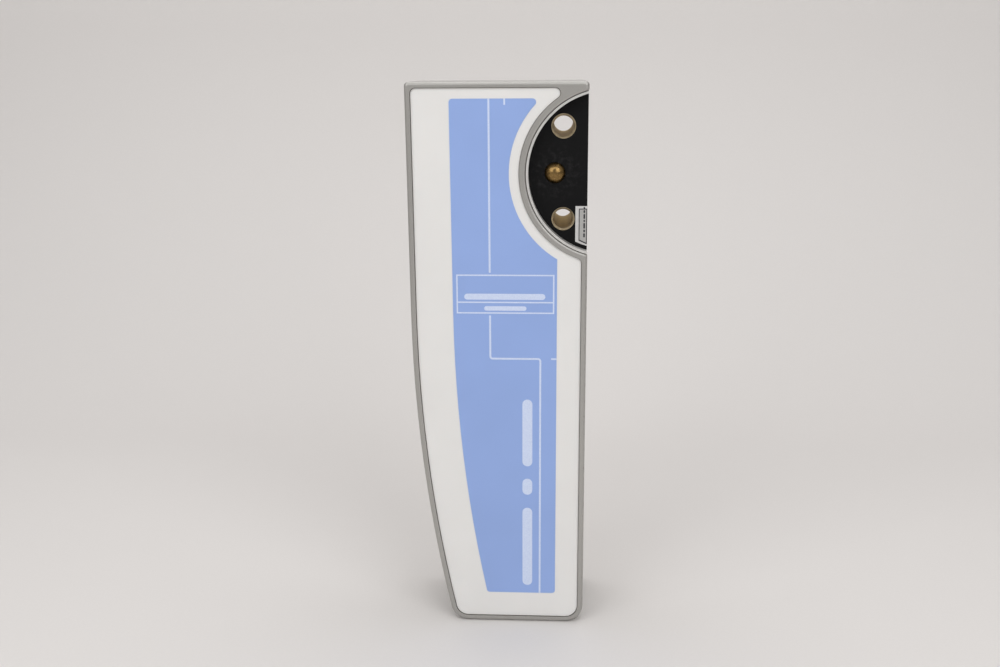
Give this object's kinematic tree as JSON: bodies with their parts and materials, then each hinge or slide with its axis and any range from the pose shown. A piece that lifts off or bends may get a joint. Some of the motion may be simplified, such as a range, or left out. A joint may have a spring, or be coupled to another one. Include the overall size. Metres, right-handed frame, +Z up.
{
  "type": "dental x-ray line sensor head",
  "caption": "Tall narrow x-ray line sensor head: grey frame, white window with a blue field, and a half-round dock bay with brass guide bushings and a ball detent.",
  "frame": {"origin": "middle of the bounding box at the flat base", "axes": "+X to the dock bay side, +Y to the back, away from the window, +Z up along the length"},
  "size_m": [0.0938, 0.056, 0.2982],
  "materials": {
    "frame_paint": "fine satin silver-grey paint",
    "cover_paint": "fine satin silver-grey paint",
    "seal_rubber": "matte",
    "screw_steel": "zinc plated",
    "window_plastic": "satin white",
    "printed_film": "satin print",
    "ring_alloy": "turned",
    "block_plastic": "fine matte",
    "bushing_brass": "machined, tarnished",
    "ball_brass": "polished, tarnished",
    "follower_plastic": "moulded",
    "spring_steel": "drawn wire",
    "sticker_foil": "satin foil",
    "connector_metal": "nickel plated",
    "insert_plastic": "moulded",
    "pin_gilt": "gilt",
    "wire_sheath": "smooth",
    "bare_alloy": "milled",
    "board_laminate": "solder mask",
    "standoff_brass": "nickel free",
    "chip_plastic": "moulded",
    "can_steel": "tinned",
    "can_alloy": "sleeved",
    "strap_copper": "bare copper",
    "mask_lead": "dull lead",
    "pad_rubber": "soft pad",
    "carrier_ceramic": "ceramic",
    "sensor_silicon": "polished silicon",
    "fibre_glass": "fused fibres",
    "screen_layer": "powdery",
    "flex_film": "polyimide"
  },
  "bodies": {
    "housing": {"front_frame": "frame_paint", "rear_housing": "frame_paint", "service_cover": "cover_paint", "seam_seal": "seal_rubber", "window_gasket": "seal_rubber", "cover_screws": "screw_steel", "housing_screws": "screw_steel", "bay_screws": "screw_steel", "detector_screws": "screw_steel", "board_screws": "screw_steel", "window_panel": "window_plastic", "printed_film": "printed_film", "dock_ring": "ring_alloy", "dock_block": "block_plastic", "upper_bushing": "bushing_brass", "lower_bushing": "bushing_brass", "detent_spring": "spring_steel", "detent_plug": "screw_steel", "rating_sticker": "sticker_foil", "connector_shell": "connector_metal", "connector_insert": "insert_plastic", "connector_pins": "pin_gilt", "connector_harness": "wire_sheath", "chassis_plate": "bare_alloy", "readout_board": "board_laminate", "processor_board": "board_laminate", "board_standoffs": "standoff_brass", "board_sockets": "insert_plastic", "board_link": "wire_sheath", "readout_chips": "chip_plastic", "processor_chips": "chip_plastic", "shield_can": "can_steel", "capacitors": "can_alloy", "power_module": "chip_plastic", "earth_strap": "strap_copper", "upper_detector_case": "bare_alloy", "upper_lead_mask": "mask_lead", "upper_thermal_pads": "pad_rubber", "upper_carrier": "carrier_ceramic", "upper_sensor_chips": "sensor_silicon", "upper_fibre_plate": "fibre_glass", "upper_scintillator": "screen_layer", "upper_flex": "flex_film", "lower_detector_case": "bare_alloy", "lower_lead_mask": "mask_lead", "lower_thermal_pads": "pad_rubber", "lower_carrier": "carrier_ceramic", "lower_sensor_chips": "sensor_silicon", "lower_fibre_plate": "fibre_glass", "lower_scintillator": "screen_layer", "lower_flex": "flex_film"},
    "detent": {"detent_ball": "ball_brass", "detent_follower": "follower_plastic"}
  },
  "joints": [
    {"name": "detent_press", "type": "slide", "parent": "housing", "child": "detent", "axis": [0, 1, 0], "range_m": [0, 0.0035], "stiffness_N_per_m": 4000, "springref_m": -0.003, "deforming": ["detent_spring"]}
  ]
}
